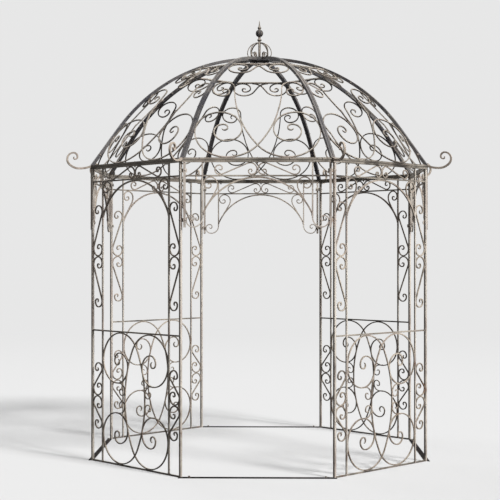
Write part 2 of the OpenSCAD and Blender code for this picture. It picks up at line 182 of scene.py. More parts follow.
class Shader:
    """The node tree of a material or world, with short ways to add nodes and join them.

    Each input takes the socket of another node, which is linked, or a plain value.
    """

    def __init__(self, owner: bpy.types.ID) -> None:
        """Starts from an empty tree.

        Args:
            owner: The material or world.
        """
        owner.use_nodes = True
        self.tree = owner.node_tree
        self.tree.nodes.clear()

    def node(
        self, kind: str, feeds: dict[str | int, object] | None = None, **settings: object
    ) -> bpy.types.Node:
        """Adds a node.

        Args:
            kind: The node's type, without its ShaderNode prefix.
            feeds: What its inputs get, by their names or numbers.
            **settings: Attributes to set on it.

        Returns:
            The new node.
        """
        made = self.tree.nodes.new("ShaderNode" + kind)
        for key, value in settings.items():
            setattr(made, key, value)
        for key, value in (feeds or {}).items():
            if isinstance(value, Socket):
                self.tree.links.new(value, made.inputs[key])
            else:
                made.inputs[key].default_value = value
        return made

    def math(self, operation: str, *values: Socket | float) -> Socket:
        """Combines numbers by an operation such as MULTIPLY."""
        return self.node("Math", dict(enumerate(values)), operation=operation).outputs[0]

    def vectors(self, operation: str, *values: object) -> bpy.types.Node:
        """Combines vectors by an operation such as LENGTH."""
        return self.node("VectorMath", dict(enumerate(values)), operation=operation)

    def axes(self, vector: Socket) -> bpy.types.bpy_prop_collection:
        """The numbers of a vector, under X, Y and Z."""
        return self.node("SeparateXYZ", {0: vector}).outputs

    def times(self, first: Socket | float, second: Socket | float) -> Socket:
        """The product of two numbers."""
        return self.math("MULTIPLY", first, second)

    def total(self, *values: Socket | float) -> Socket:
        """The sum of two or more numbers."""
        return reduce(lambda found, value: self.math("ADD", found, value), values)

    def swing(self, noise: Socket, amount: float) -> Socket:
        """Noise, which is about 0.5 on average, as a swing of this amount about 0."""
        return self.math("MULTIPLY_ADD", noise, amount, -amount / 2)

    def ramp(self, value: Socket, levels: Sequence[float], kind: str) -> Socket:
        """Leads a number over from one level to another.

        Args:
            value: The number.
            levels: Where it starts and ends, and the level before and after.
            kind: How it goes over, such as LINEAR or SMOOTHSTEP.

        Returns:
            The level's socket.
        """
        names = ("Value", "From Min", "From Max", "To Min", "To Max")
        feeds = dict(zip(names, (value, *levels)))
        return self.node("MapRange", feeds, interpolation_type=kind).outputs["Result"]

    def ease(self, value: Socket, step: Step) -> Socket:
        """A smooth step."""
        return self.ramp(value, step.value, "SMOOTHSTEP")

    def mix(self, share: Socket, first: object, second: object) -> Socket:
        """Blends two colours, with this share of the second."""
        feeds = {"Factor": share, "A": first, "B": second}
        return self.node("Mix", feeds, data_type="RGBA").outputs["Result"]

    def noise(self, place: Socket, cloud: Cloud) -> Socket:
        """Cloudy noise, about 0.5 on average."""
        feeds = dict(zip(("Vector", "Scale", "Detail"), (place, *cloud.value)))
        return self.node("TexNoise", feeds).outputs["Fac"]

    def plain(self, kind: str, tone: float) -> Socket:
        """An even grey surface or glow, from 0 for black to 1 for white."""
        return self.node(kind, {"Color": (tone, tone, tone, 1.0)}).outputs[0]

    def blend(self, share: Socket, first: Socket, second: Socket) -> Socket:
        """Blends two shaders, with this share of the second."""
        return self.node("MixShader", {0: share, 1: first, 2: second}).outputs[0]

    def in_view(self) -> Socket:
        """Tells what the camera sees, also in gloss and through glass, from light on the work.

        Returns:
            The socket of 1 for what it sees, and 0 for the rest.
        """
        path = self.node("LightPath").outputs
        mirrored = self.math("MAXIMUM", path["Is Glossy Ray"], path["Is Transmission Ray"])
        return self.math("MAXIMUM", path["Is Camera Ray"], mirrored)

    def finish(self, kind: str, shader: Socket) -> None:
        """Makes a shader the tree's result; kind is Material or World."""
        self.node("Output" + kind, {"Surface": shader})


@dataclass(frozen=True)
class IronFinish:
    """Old paint on iron: a dark coat, rubbed pale on its faces and edges, with rust and dust, and
    painted shade on undersides and in seams.

    The colours are screen colours from 0 to 255. The shares go from 0 to 1, and level,
    low_dark, rusting and flaking move the places where the paint is rubbed, rusted or chipped.
    """

    coat: Colour
    faded: Colour
    rubbed: Colour
    blush: Colour = (180, 163, 154)
    rust: Colour = (104, 68, 46)
    dust: Colour = (178, 168, 156)
    grain: Grain = Grain.EVEN
    joint: Joint = Joint.NONE
    level: float = 0.0
    low_dark: float = 0.12
    rusting: float = 0.0
    flaking: float = -0.02
    metal: float = 0.0
    gloss: float = 0.2
    rough: tuple[float, float] = (0.44, 0.80)
    tooth: tuple[float, float] = (0.2, 0.7)
    edge_radius: float = 0.0016
    dent_scale: float = 130.0
    hammered: float = 0.25
    relief: float = 0.6
    pits: float = 0.0006

    def painted_seam_shade(self, s: Shader, place: Socket) -> Socket:
        """The share of painted shade in the seam between two bars.

        Args:
            s: The node tree.
            place: The position's socket.

        Returns:
            The share's socket.
        """
        axes = s.axes(place)
        if self.joint is Joint.EAVE:
            away = s.math("ABSOLUTE", s.math("SUBTRACT", axes["Z"], EAVE_HEIGHT))
        else:
            flat = s.vectors("MULTIPLY", place, (1.0, 1.0, 0.0)).outputs["Vector"]
            reach = s.vectors("LENGTH", flat).outputs["Value"]
            turn = s.math("ARCTAN2", axes["Y"], axes["X"])
            wave = s.math("ABSOLUTE", s.math("COSINE", s.times(turn, SIDES / 2)))
            away = s.times(s.times(wave, reach), 2 / SIDES)
        return s.ease(away, Step.PAINTED_SEAM_SHADE)

    def make(self, name: str) -> bpy.types.Material:
        """Builds the finish.

        Args:
            name: The material's name.

        Returns:
            The material.
        """
        material = bpy.data.materials.new(name)
        s = Shader(material)
        geometry = s.node("NewGeometry").outputs
        place, normal = geometry["Position"], geometry["Normal"]
        brushed = s.node("Mapping", {"Vector": place, "Scale": self.grain.value}).outputs[0]
        broad, patch = s.noise(place, Cloud.BROAD), s.noise(place, Cloud.PATCH)
        streak, speck = s.noise(brushed, Cloud.STREAK), s.noise(place, Cloud.SPECK)
        rounded = s.node("Bevel", {"Radius": self.edge_radius}, samples=4).outputs[0]
        alike = s.vectors("DOT_PRODUCT", rounded, normal).outputs["Value"]
        low = s.ease(s.axes(place)["Z"], Step.LOW)
        facing = s.axes(normal)["Z"]
        upward = s.ease(facing, Step.UPWARD)

        rubbing_and_underside_shade = s.total(
            self.level,
            s.swing(broad, 0.45),
            s.swing(patch, 0.45),
            s.swing(streak, 0.42),
            s.swing(speck, 0.18),
            s.times(s.ease(s.math("SUBTRACT", 1.0, alike), Step.EDGE), 0.12),
            s.times(upward, 0.06),
            # Painted shade: faces that turn downward are made darker.
            s.times(s.ease(facing, Step.PAINTED_UNDERSIDE_SHADE), -0.14),
            s.times(low, -self.low_dark),
        )
        fading = s.ease(s.total(broad, s.swing(speck, 0.3)), Step.FADED)
        warmth = s.total(s.noise(place, Cloud.BLUSH), s.swing(streak, 0.35))
        blushing = s.ease(warmth, Step.BLUSHED)
        colour = s.mix(
            s.ease(rubbing_and_underside_shade, Step.RUBBED),
            s.mix(fading, linear(*self.coat), linear(*self.faded)),
            s.mix(blushing, linear(*self.rubbed), linear(*self.blush)),
        )
        flaky = s.total(
            s.noise(place, Cloud.FLAKE),
            self.flaking,
            s.swing(patch, 0.30),
            s.swing(speck, 0.08),
            s.times(low, 0.04),
        )
        colour = s.mix(s.ease(flaky, Step.STAINED), colour, linear(*self.rust))
        chips = s.ease(flaky, Step.CHIPPED)
        colour = s.mix(s.times(chips, 0.85), colour, linear(*self.coat))
        rusty = s.total(
            s.noise(place, Cloud.RUST), self.rusting, s.swing(speck, 0.3), s.times(low, 0.06)
        )
        rust = s.ease(rusty, Step.RUSTED)
        colour = s.mix(rust, colour, linear(*self.rust))
        colour = s.mix(s.ease(s.times(upward, patch), Step.DUSTY), colour, linear(*self.dust))
        # Painted shade: the seam between side-by-side bars is darkened to the coat colour.
        if self.joint is not Joint.NONE:
            colour = s.mix(self.painted_seam_shade(s, place), colour, linear(*self.coat))

        feeds = {"Vector": place, "Scale": self.dent_scale}
        dents = s.node("TexVoronoi", feeds, feature="SMOOTH_F1")
        height = s.total(
            s.times(speck, 0.5),
            s.times(dents.outputs["Distance"], self.hammered),
            s.times(chips, -0.35),
            s.times(rust, 0.3),
        )
        coarse = s.total(s.times(streak, 0.7), s.times(rust, 0.5))
        feeds = {"Strength": self.relief, "Distance": self.pits, "Height": height}
        bump = s.node("Bump", {**feeds, "Normal": rounded})
        feeds = {
            "Base Color": colour,
            "Metallic": self.metal,
            "Specular IOR Level": self.gloss,
            "Roughness": s.ramp(coarse, (*self.tooth, *self.rough), "LINEAR"),
            "Normal": bump.outputs["Normal"],
        }
        s.finish("Material", s.node("BsdfPrincipled", feeds).outputs["BSDF"])
        return material


FINISHES = {
    Coat.POST: IronFinish(
        (50, 42, 38),
        (104, 95, 88),
        (222, 213, 201),
        grain=Grain.UPRIGHT,
        level=0.17,
        low_dark=0.10,
        flaking=-0.05,
    ),
    Coat.RAIL: IronFinish(
        (44, 40, 37),
        (92, 86, 79),
        (196, 187, 173),
        (174, 160, 149),
        grain=Grain.LEVEL,
        joint=Joint.EAVE,
        level=0.02,
    ),
    Coat.SILL: IronFinish(
        (24, 23, 25),
        (34, 32, 33),
        (62, 59, 57),
        rust=(62, 46, 38),
        dust=(58, 54, 52),
        grain=Grain.LEVEL,
        level=-0.12,
        gloss=0.02,
        rough=(0.75, 0.95),
    ),
    Coat.ARCH: IronFinish((52, 44, 39), (98, 87, 78), (206, 193, 178), level=0.08, hammered=0.6),
    Coat.LATTICE: IronFinish(
        (42, 35, 30), (84, 72, 64), (210, 197, 180), level=0.07, low_dark=0.10, hammered=0.7
    ),
    Coat.DOME: IronFinish((54, 48, 44), (98, 90, 84), (190, 181, 168), level=0.02, hammered=0.7),
    Coat.RIB: IronFinish(
        (54, 53, 59),
        (80, 79, 84),
        (136, 132, 126),
        (118, 110, 113),
        joint=Joint.RIB,
        level=-0.04,
        rusting=-0.02,
    ),
    Coat.WELD: IronFinish(
        (74, 65, 62), (118, 107, 104), (194, 182, 176), level=0.04, hammered=0.5
    ),
    Coat.BOLT: IronFinish(
        (80, 76, 72), (112, 107, 101), (168, 163, 155), rusting=0.05, metal=0.6, pits=0.0003
    ),
}

BAR_COATS = {
    "posts": Coat.POST,
    "legs": Coat.POST,
    "rails": Coat.RAIL,
    "ring": Coat.RAIL,
    "sills": Coat.SILL,
    "arch": Coat.ARCH,
    "horns": Coat.ARCH,
    "lattice": Coat.LATTICE,
    "scrolls": Coat.DOME,
    "ribs": Coat.RIB,
    "plate": Coat.RIB,
    "finial": Coat.DOME,
}

Paints = dict[Coat, bpy.types.Material]


# Places and bars


def turned(degrees: float, axis: str = "Z") -> Matrix:
    """A turn about an axis."""
    return Matrix.Rotation(math.radians(degrees), 4, axis)


def moved(x: float, y: float, z: float = 0.0) -> Matrix:
    """A move along the axes."""
    return Matrix.Translation((x, y, z))


def mirrored(place: Matrix) -> tuple[Matrix, Matrix]:
    """A drawing's place, and that of its mirror image from left to right."""
    return place, place @ Matrix.Scale(-1.0, 4, (1.0, 0.0, 0.0))


def mirrored_upward(place: Matrix, middle: float) -> tuple[Matrix, Matrix]:
    """A drawing's place, and that of its mirror image about a level line at this height."""
    return place, place @ moved(0.0, 2 * middle) @ Matrix.Scale(-1.0, 4, (0.0, 1.0, 0.0))


@dataclass(frozen=True)
class Plan:
    """Sizes of the octagonal plan and its bars, as the frame has them."""

    side_distance: float = 1.157
    post_setback: float = 0.015
    eave_height: float = EAVE_HEIGHT
    post_bar: float = 0.015
    stile_bar: float = 0.010
    scroll_bar: float = SCROLL_BAR
    strip_width: float = 0.114
    weld_bite: float = 0.0004
    balustrade_height: float = 0.900
    frieze_height: float = 0.081
    leg_bottom: float = 1.592
    sill_thickness: float = 0.005

    @property
    def corner_x(self) -> float:
        """Half the length of a side."""
        return self.side_distance * math.tan(HALF_TURN)

    @property
    def corner_radius(self) -> float:
        """Distance from the middle of the plan to a corner."""
        return self.side_distance / math.cos(HALF_TURN)

    @property
    def post_x(self) -> float:
        """A post's place along its side."""
        return self.corner_x - self.post_setback

    @property
    def stile_x(self) -> float:
        """A stile's place along its side."""
        return self.post_x - self.strip_width

    @property
    def post_face(self) -> float:
        """The post's face towards its stile."""
        return self.post_x - self.post_bar / 2

    @property
    def stile_outer(self) -> float:
        """The stile's face towards its post."""
        return self.stile_x + self.stile_bar / 2

    @property
    def stile_face(self) -> float:
        """The stile's face towards the middle of the side."""
        return self.stile_x - self.stile_bar / 2

    @property
    def rail_bottom(self) -> float:
        """Underside of the top rails."""
        return self.eave_height - self.post_bar

    @property
    def header_top(self) -> float:
        """Top of the header bars."""
        return self.rail_bottom - self.frieze_height

    @property
    def header_bottom(self) -> float:
        """Underside of the header bars."""
        return self.header_top - self.stile_bar

    @property
    def ring_top(self) -> float:
        """Top of the dome's base ring."""
        return self.eave_height + self.post_bar

    @property
    def seat(self) -> float:
        """From a bar's face to the middle line of a scroll welded on it."""
        return self.scroll_bar / 2 - self.weld_bite

    def side(self, number: int) -> Matrix:
        """The place of a side's drawing, counted from the front: x along it, y up, z out."""
        return turned(number * TURN) @ moved(0.0, -self.side_distance) @ turned(90.0, "X")

    def corner(self, number: int) -> Matrix:
        """A turn that brings +X to the corner after a side."""
        return turned((number + 0.5) * TURN - 90.0)


@dataclass(frozen=True)
class Station:
    """A point of a bent bar in its drawing, with the heading there in degrees."""

    x: float
    y: float
    heading: float

    @property
    def place(self) -> Matrix:
        """Its place in the drawing, with x along the bar."""
        return moved(self.x, self.y) @ turned(self.heading)


@dataclass(frozen=True)
class Bend:
    """A length of a bent bar: an arc that turns left by `turn` degrees.

    With a radius of 0 it is a straight run, and `turn` is its length.
    """

    radius: float
    turn: float

    def follow(self, start: Station) -> Station:
        """Follows the bar to the bend's end.

        Args:
            start: Where the bend starts.

        Returns:
            Where it ends.
        """
        angle = math.radians(start.heading)
        if self.radius == 0.0:
            x = start.x + self.turn * math.cos(angle)
            return Station(x, start.y + self.turn * math.sin(angle), start.heading)
        reach = math.copysign(1.0, self.turn) * self.radius
        end = math.radians(start.heading + self.turn)
        return Station(
            start.x - reach * math.sin(angle) + reach * math.sin(end),
            start.y + reach * math.cos(angle) - reach * math.cos(end),
            start.heading + self.turn,
        )


def coil(radii: Sequence[float], way: int) -> list[Bend]:
    """Quarter turns of these radii that wind a bar up, to the left if way is 1, right if -1."""
    return [Bend(radius, 90.0 * way) for radius in radii]


def crossover(along: float, side: float, radius: float) -> list[Bend]:
    """Bends that carry a bar across while it runs on.

    Args:
        along: How far it runs on.
        side: How far it crosses, to the left if positive.
        radius: The radius of both bends.

    Returns:
        The bends, as two arcs and the straight between them.
    """
    over = abs(side) - 2 * radius
    span = math.hypot(along, over)
    angle = math.degrees(math.atan2(over, along) + math.asin(2 * radius / span))
    way = math.copysign(1.0, side)
    straight = math.sqrt(span**2 - 4 * radius**2)
    return [Bend(radius, way * angle), Bend(0.0, straight), Bend(radius, -way * angle)]


def walk(start: Station, bends: Sequence[Bend]) -> list[Station]:
    """Follows a bar through its bends.

    Args:
        start: Where the bar starts.
        bends: Its bends in order.

    Returns:
        The start and the end of each bend.
    """
    found = [start]
    for bend in bends:
        found.append(bend.follow(found[-1]))
    return found


# Small forms


def circle(points: int, ahead: float = 0.0) -> list[tuple[float, float]]:
    """Points round a circle of radius 1, started this share of a step ahead."""
    angles = [2 * math.pi * (i + ahead) / points for i in range(points)]
    return [(math.cos(angle), math.sin(angle)) for angle in angles]


def bead(rings: int, blunt: float) -> Iterator[tuple[float, float]]:
    """Goes along a rounded bead, from -1 at one end to 1 at the other.

    Args:
        rings: How many rings it has.
        blunt: How full its ends are, as the square of a share of its girth.

    Yields:
        The place of each ring, and its share of the girth.
    """
    for i in range(rings):
        t = -1.0 + 2.0 * i / (rings - 1)
        yield t, math.sqrt(max(blunt, 1.0 - t * t))


@dataclass(frozen=True)
class WeldShape:
    """The form of a bead of weld, and how far one bead departs from another."""

    stretch: tuple[float, float] = (0.8, 1.2)
    half_width: tuple[float, float] = (0.0026, 0.0034)
    stray: tuple[float, float] = (0.0006, 0.0015)
    rings: int = 9
    blunt: float = 0.02
    ripple: float = 0.14
    ripple_rate: float = 5.5
    rise: float = 0.8


@dataclass(frozen=True)
class TipShape:
    """The form of a forged end, as shares of the bar and of its last bend."""

    turn: float = 62.0
    steps: int = 6
    tighter: float = 0.3
    inset: float = 0.015
    thinner: float = 0.42
    edges: tuple[float, float] = (9.0, 3.5)
    nose: tuple[tuple[float, float], ...] = ((0.0, 0.97), (0.5, 0.78), (0.85, 0.42), (1.0, 0.1))
    nose_length: float = 0.3
    nose_depth: float = 0.4


@dataclass(frozen=True)
class BoltShape:
    """The form of a hexagon head or nut on its washer.

    A ring is given as its radius, as a share of the hexagon's, and its height, as a share
    of the head's and as metres on top of that. The thread is a share of the width.
    """

    height: float = 0.62
    washer: tuple[tuple[float, float, float], ...] = (
        (1.45, 0.0, -0.0004),
        (1.45, 0.0, 0.0010),
        (1.392, 0.0, 0.0014),
        (1.0, 0.0, 0.0014),
    )
    head: tuple[tuple[float, float, float], ...] = (
        (0.96, 0.0, 0.0010),
        (1.0, 0.0, 0.0018),
        (1.0, 0.8, 0.0014),
        (0.86, 1.0, 0.0014),
        (0.3, 1.0, 0.0016),
    )
    thread: float = 0.28
    point: float = 0.22
    point_length: float = 0.0006
    rooted: float = 0.002


@dataclass(frozen=True)
class RivetShape:
    """The form of a low domed head: its rings' angles, and shares of its radius."""

    angles: tuple[float, ...] = (0.0, 0.35, 0.7, 1.05, 1.35, 1.53)
    flatness: float = 0.55
    foot: float = 1.02
    sunk: float = 0.0004


WELD, TIP, BOLT, RIVET = WeldShape(), TipShape(), BoltShape(), RivetShape()
HEX, WASHER_SIDES, THREAD_SIDES, RIVET_SIDES = 6, 20, 12, 16
BEAD_SIDES, BAR_SIDES = 8, 12
STUB = 0.003
ANY_TURN = 6.28
SMOOTH_ANGLE = 38.0


class Forge:
    """Collects small forms into one piece. Each form is drawn in the place set last."""

    def __init__(self, name: str, coat: Coat, slot: Slot, seed: int = 0) -> None:
        """Starts an empty piece.

        Args:
            name: The piece's name.
            coat: Its finish.
            slot: The record's slot that the finish belongs to; not used.
            seed: Seed of its small irregularities, where it has them.
        """
        self.name = name
        self.finish = coat, slot
        self.mesh = bmesh.new()
        self.place = Matrix.Identity(4)
        self.chance = random.Random(seed)

    def skin(self, rings: Sequence[Sequence[Vector]]) -> None:
        """Lays a closed skin over a row of rings.

        Args:
            rings: Rings of points, all of one count, in the drawing.
        """
        made = [[self.mesh.verts.new(self.place @ point) for point in ring] for ring in rings]
        count = len(rings[0])
        for low, high in zip(made, made[1:]):
            for i in range(count):
                j = (i + 1) % count
                self.mesh.faces.new((low[i], low[j], high[j], high[i]))
        self.mesh.faces.new(list(reversed(made[0])))
        self.mesh.faces.new(made[-1])

    def lathe(self, base: Matrix, profile: Sequence[tuple[float, float]], sides: int) -> None:
        """A turned form, or with few sides a nut or bolt head.

        Args:
            base: Place of its foot in the drawing, with its axis on z.
            profile: Radius and height of each ring, from the foot up.
            sides: How many sides a ring has.
        """
        round_it = circle(sides)
        self.skin([[base @ Vector((r * c, r * s, z)) for c, s in round_it] for r, z in profile])

    def weld(
        self,
        x: float,
        y: float,
        heading: float,
        length: float = Bead.SCROLL,
        depth: float = SCROLL_BAR,
    ) -> None:
        """A rippled bead of weld on both faces of a joint.

        Args:
            x: Place of the joint across the drawing.
            y: Place of the joint up the drawing.
            heading: Direction of the bead in degrees.
            length: Length of the bead.
            depth: Thickness of the bar that was welded on.
        """
        draw = self.chance.uniform
        stray_x, stray_y = WELD.stray
        round_it = circle(BEAD_SIDES)
        for face in (-1.0, 1.0):
            half = length * draw(*WELD.stretch) / 2
            wide = draw(*WELD.half_width)
            phase = draw(0.0, ANY_TURN)
            middle = moved(
                x + draw(-stray_x, stray_x), y + draw(-stray_y, stray_y), face * depth / 2
            ) @ turned(heading)
            rings = []
            for t, girth in bead(WELD.rings, WELD.blunt):
                girth *= wide * (1.0 + WELD.ripple * math.sin(WELD.ripple_rate * t + phase))
                ring = [(t * half, girth * c, girth * WELD.rise * s) for c, s in round_it]
                rings.append([middle @ Vector(point) for point in ring])
            self.skin(rings)

    def section(self, middle: Matrix, wide: float, deep: float, square: float) -> list[Vector]:
        """A section of a bar, between square and round.

        Args:
            middle: Its place, with the bar's width on y and its depth on z.
            wide: Width in the drawing's plane.
            deep: Depth across the plane.
            square: 2 for round, more for squarer.

        Returns:
            The section's points.
        """
        ring = []
        for c, s in circle(BAR_SIDES, 0.5):
            y = math.copysign(abs(c) ** (2 / square), c) * wide / 2
            z = math.copysign(abs(s) ** (2 / square), s) * deep / 2
            ring.append(middle @ Vector((0.0, y, z)))
        return ring

    def tip(self, end: Station, last: Bend, bar: float, depth: float, flare: float) -> None:
        """A forged end on a scroll: the bar winds on a little, thins and rounds off.

        Args:
            end: Where the plain bar ends.
            last: Its last bend.
            bar: The bar's thickness in the drawing's plane.
            depth: Its depth across the plane.
            flare: How many times its depth it is spread to at its end.
        """
        here = end
        turn = math.copysign(TIP.turn, last.turn) / TIP.steps
        squarer, rounder = TIP.edges
        rings = []
        for i in range(TIP.steps + 1):
            t = i / TIP.steps
            wide = bar * (1.0 - TIP.inset - TIP.thinner * t)
            deep = depth * (1.0 - TIP.inset + (flare - 1.0) * t * t)
            square = squarer - (squarer - rounder) * t
            rings.append(self.section(here.place, wide, deep, square))
            here = Bend(last.radius * (1.0 - TIP.tighter * t), turn).follow(here)
        for reach, share in TIP.nose:
            step = Bend(0.0, reach * bar * TIP.nose_length).follow(here)
            deep = depth * (flare - TIP.inset) * (TIP.nose_depth + (1.0 - TIP.nose_depth) * share)
            rings.append(self.section(step.place, wide * share, deep, rounder))
        self.skin(rings)

    def bolt(self, base: Matrix, across: float, stub: float = 0.0) -> None:
        """A hexagon head or nut on its washer.

        Args:
            base: Place of the washer's foot in the drawing, with the axis on z.
            across: Width of the hexagon over its flats.
            stub: How far a threaded end stands out of it, or 0 for a head.
        """
        spin = base @ Matrix.Rotation(self.chance.uniform(0.0, ANY_TURN), 4, "Z")
        corner, high = across / math.sqrt(3), across * BOLT.height
        for foot, rings, sides in ((base, BOLT.washer, WASHER_SIDES), (spin, BOLT.head, HEX)):
            profile = [(corner * share, high * up + more) for share, up, more in rings]
            self.lathe(foot, profile, sides)
        if stub > 0.0:
            thread, end = across * BOLT.thread, BOLT.washer[-1][-1] + high + stub
            profile = [(thread, BOLT.rooted), (thread, end - BOLT.point_length)]
            self.lathe(base, [*profile, (across * BOLT.point, end)], THREAD_SIDES)

    def rivet(self, base: Matrix, radius: float) -> None:
        """A low domed head.

        Args:
            base: Place of its foot in the drawing, with the axis on z.
            radius: Its radius.
        """
        high = radius * RIVET.flatness
        dome = [(radius * math.cos(a), high * math.sin(a)) for a in RIVET.angles]
        self.lathe(base, [(radius * RIVET.foot, -RIVET.sunk), *dome], RIVET_SIDES)

    def make(self, paints: Paints) -> bpy.types.Object:
        """Turns what was collected into a piece that rides on the frame.

        Args:
            paints: The finishes.

        Returns:
            The piece.
        """
        coat, slot = self.finish
        bmesh.ops.recalc_face_normals(self.mesh, faces=self.mesh.faces)
        limit = math.radians(SMOOTH_ANGLE)
        for face in self.mesh.faces:
            face.smooth = True
        for edge in self.mesh.edges:
            edge.smooth = len(edge.link_faces) == 2 and edge.calc_face_angle(0.0) < limit
        data = bpy.data.meshes.new(self.name)
        self.mesh.to_mesh(data)
        self.mesh.free()
        data.materials.append(paints[coat])
        piece = bpy.data.objects.new(self.name, data)
        bpy.context.scene.collection.objects.link(piece)
        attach(piece, "root")
        return piece


@dataclass
class Bench:
    """The forged ends and the welds of one sub-assembly, worked on in one place at a time."""

    ends: Forge
    welds: Forge

    def at(self, place: Matrix) -> None:
        """Sets the place of the next ends and welds."""
        self.ends.place = self.welds.place = place

    def scroll(
        self,
        start: Station,
        bends: Sequence[Bend],
        bar: float = SCROLL_BAR,
        depth: float = 0.0,
        flare: float = 1.0,
    ) -> list[Station]:
        """Follows a scroll of the frame and forges its end.

        Args:
            start: Where its middle line starts.
            bends: Its bends in order.
            bar: Its thickness in the drawing's plane.
            depth: Its depth across the plane, or 0 for a square bar.
            flare: How many times its depth it is spread to at its end.

        Returns:
            The start and the end of each bend.
        """
        path = walk(start, bends)
        self.ends.tip(path[-1], bends[-1], bar, depth or bar, flare)
        return path


# Sub-assemblies


@dataclass
class ArchDressing:
    """Welds and forged ends of an arch, its commas and the frieze over them."""

    plan: Plan
    radius: float = 0.376
    foot_lean: float = 0.1
    comma_side: float = 0.088
    comma_radii: Sizes = (0.047, 0.041, 0.029, 0.018, 0.011)
    frieze_share: float = 0.55
    frieze_end_x: float = 0.240
    frieze_bend: float = 0.060
    frieze_radii: Sizes = (0.031, 0.028, 0.019, 0.011)
    frieze_eye: Sizes = (0.020, 0.013, 0.009)

    def dress(self, work: Bench, place: Matrix) -> None:
        """Adds the forged ends and welds of one side.

        Args:
            work: Collectors of the side.
            place: The side's place.
        """
        p = self.plan
        weld = work.welds.weld
        top = p.rail_bottom - p.seat
        rise = top - p.header_top - p.seat
        centre = rise * self.frieze_share
        reach = p.stile_face
        foot = p.header_bottom - p.stile_bar / 2 - self.radius
        foot += math.sqrt(self.radius**2 - reach**2)
        lean = 90.0 - math.degrees(math.asin(reach / self.radius)) * self.foot_lean
        comma_y = p.header_bottom - p.seat - self.comma_radii[0]
        comma = Station(reach - p.seat - self.comma_side, comma_y, 90.0)
        inner = coil([rise - centre, *self.frieze_eye], 1)
        outer = [Bend(centre, -90.0)]
        outer += crossover(self.frieze_end_x - p.seat - centre, -rise, self.frieze_bend)
        outer += coil(self.frieze_radii, 1)
        for half in mirrored(place):
            work.at(half)
            path = work.scroll(comma, coil(self.comma_radii, -1))
            weld(path[1].x, p.header_bottom, 0.0)
            weld(reach, path[2].y, 90.0)
            weld(reach, foot, lean, Bead.ARCH_FOOT, p.stile_bar)
            path = work.scroll(Station(p.seat, top - centre, -90.0), inner)
            weld(path[1].x, p.header_top, 0.0)
            path = work.scroll(Station(p.seat, top - centre, 90.0), outer)
            weld(path[1].x, p.rail_bottom, 0.0)
            weld(path[4].x, p.header_top, 0.0)
        work.at(place)
        weld(0.0, top - centre, 90.0, Bead.BACK)
        weld(0.0, p.header_bottom, 0.0, Bead.ARCH_TOP, p.stile_bar)


@dataclass
class StripDressing:
    """Welds and forged ends of a pair of S-scrolls between a post and its stile."""

    plan: Plan
    middle: float
    drop: float
    loop: float
    bend: float
    curl: float = 0.039
    eye: Sizes = (0.033, 0.018, 0.011)
    curl_eye: Sizes = (0.020, 0.012)
    curl_step: float = 0.004

    def dress(self, work: Bench, place: Matrix) -> None:
        """Adds both pairs of one side.

        Args:
            work: Collectors of the side.
            place: The side's place.
        """
        p = self.plan
        weld = work.welds.weld
        reach = p.strip_width - p.post_bar / 2 - p.stile_bar / 2 - 2 * p.seat
        low = self.middle - p.seat - self.loop
        x = p.post_face - p.seat
        up = coil([self.loop, reach - self.loop, *self.eye], 1)
        down = crossover(self.drop, -reach, self.bend)
        down += coil([self.curl, self.curl - self.curl_step, *self.curl_eye], 1)
        for half in mirrored(place):
            for quarter in mirrored_upward(half, self.middle):
                work.at(quarter)
                path = work.scroll(Station(x, low, 90.0), up)
                weld(p.post_face, low, 90.0, Bead.POST)
                weld(p.stile_outer, path[2].y, 90.0)
                path = work.scroll(Station(x, low, -90.0), down)
                weld(p.stile_outer, path[3].y, 90.0)
            work.at(half)
            weld(x - self.loop, self.middle, 0.0, Bead.BACK)


@dataclass
class BalustradeDressing:
    """Welds and forged ends of the interlaced C-scrolls under a balustrade rail."""

    plan: Plan
    bend_radius: float = 0.200
    neck_angle: float = 27.0
    volute_offset: float = 0.153
    turn_radii: Sizes = (0.150, 0.116, 0.088, 0.052, 0.029, 0.021)
    hook_bar: float = 0.0065
    hook_bend: float = 0.052
    hook_eye: Sizes = (0.028, 0.028, 0.014)
    hook_weld_rise: float = 0.003

    def dress(self, work: Bench, place: Matrix) -> None:
        """Adds the four half scrolls and hooks of one side.

        Args:
            work: Collectors of the side.
            place: The side's place.
        """
        p = self.plan
        weld = work.welds.weld
        low = p.stile_bar + p.seat
        high = p.balustrade_height - p.stile_bar / 2 - p.seat
        middle = (low + high) / 2
        angle = math.radians(self.neck_angle)
        level, upright = math.cos(angle), math.sin(angle)
        neck_radius = (high - middle - self.bend_radius * (1 - upright)) / upright
        neck_x = -self.volute_offset + neck_radius * (1 - level) + self.bend_radius * level
        side = p.stile_face - p.seat - self.volute_offset
        scroll = [Bend(neck_radius, self.neck_angle)]
        scroll.append(Bend(self.bend_radius, 90.0 - self.neck_angle))
        scroll += coil([side, *self.turn_radii], 1)
        hook_x = -p.stile_face + p.seat + self.turn_radii[0]
        hook_start = Station(hook_x, high - side - self.turn_radii[0], 0.0)
        hook_run = -neck_x - p.scroll_bar / 2 - self.hook_bend - hook_x
        hook = [Bend(0.0, hook_run), *coil([self.hook_bend, *self.hook_eye], -1)]
        for half in mirrored(place):
            for quarter in mirrored_upward(half, middle):
                work.at(quarter)
                path = work.scroll(Station(neck_x, middle, 90.0), scroll)
                weld(path[2].x, high + p.seat, 0.0, Bead.VOLUTE)
                weld(-p.stile_face, path[3].y, 90.0, Bead.VOLUTE)
                path = work.scroll(hook_start, hook, self.hook_bar)
                y = hook_start.y + self.hook_weld_rise
                weld(hook_x, y, 0.0, depth=self.hook_bar)
                weld(path[2].x + self.hook_bar / 2, path[2].y, 90.0, depth=self.hook_bar)


